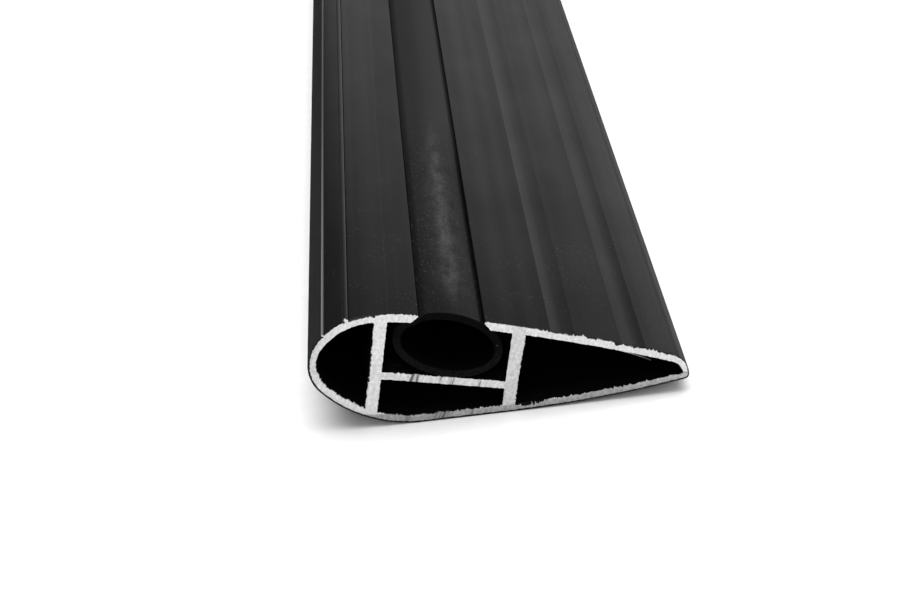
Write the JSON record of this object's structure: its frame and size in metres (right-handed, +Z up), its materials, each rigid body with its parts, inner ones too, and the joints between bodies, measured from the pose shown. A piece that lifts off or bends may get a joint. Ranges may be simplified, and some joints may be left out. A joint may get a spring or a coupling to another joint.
{
  "type": "roof rack crossbar",
  "caption": "Wing-section aluminium roof rack crossbar, hollow inside, with a T-slot along its top filled by a hollow rubber strip and both ends cut square.",
  "frame": {"origin": "bottom centre of the box around the bar as it lies at rest on the flat of its underside", "axes": "+Y along the bar away from the cut end that the picture shows, +X from the nose towards the tail, +Z up"},
  "size_m": [0.0748, 1.2, 0.0247],
  "materials": {
    "anodised_aluminium": "satin black anodised outside, bare sawn metal on the cut ends",
    "strip_rubber": "matt black with a pale bloom"
  },
  "bodies": {
    "root": {"crossbar_extrusion": "anodised_aluminium", "slot_infill_strip": "strip_rubber"}
  },
  "joints": []
}
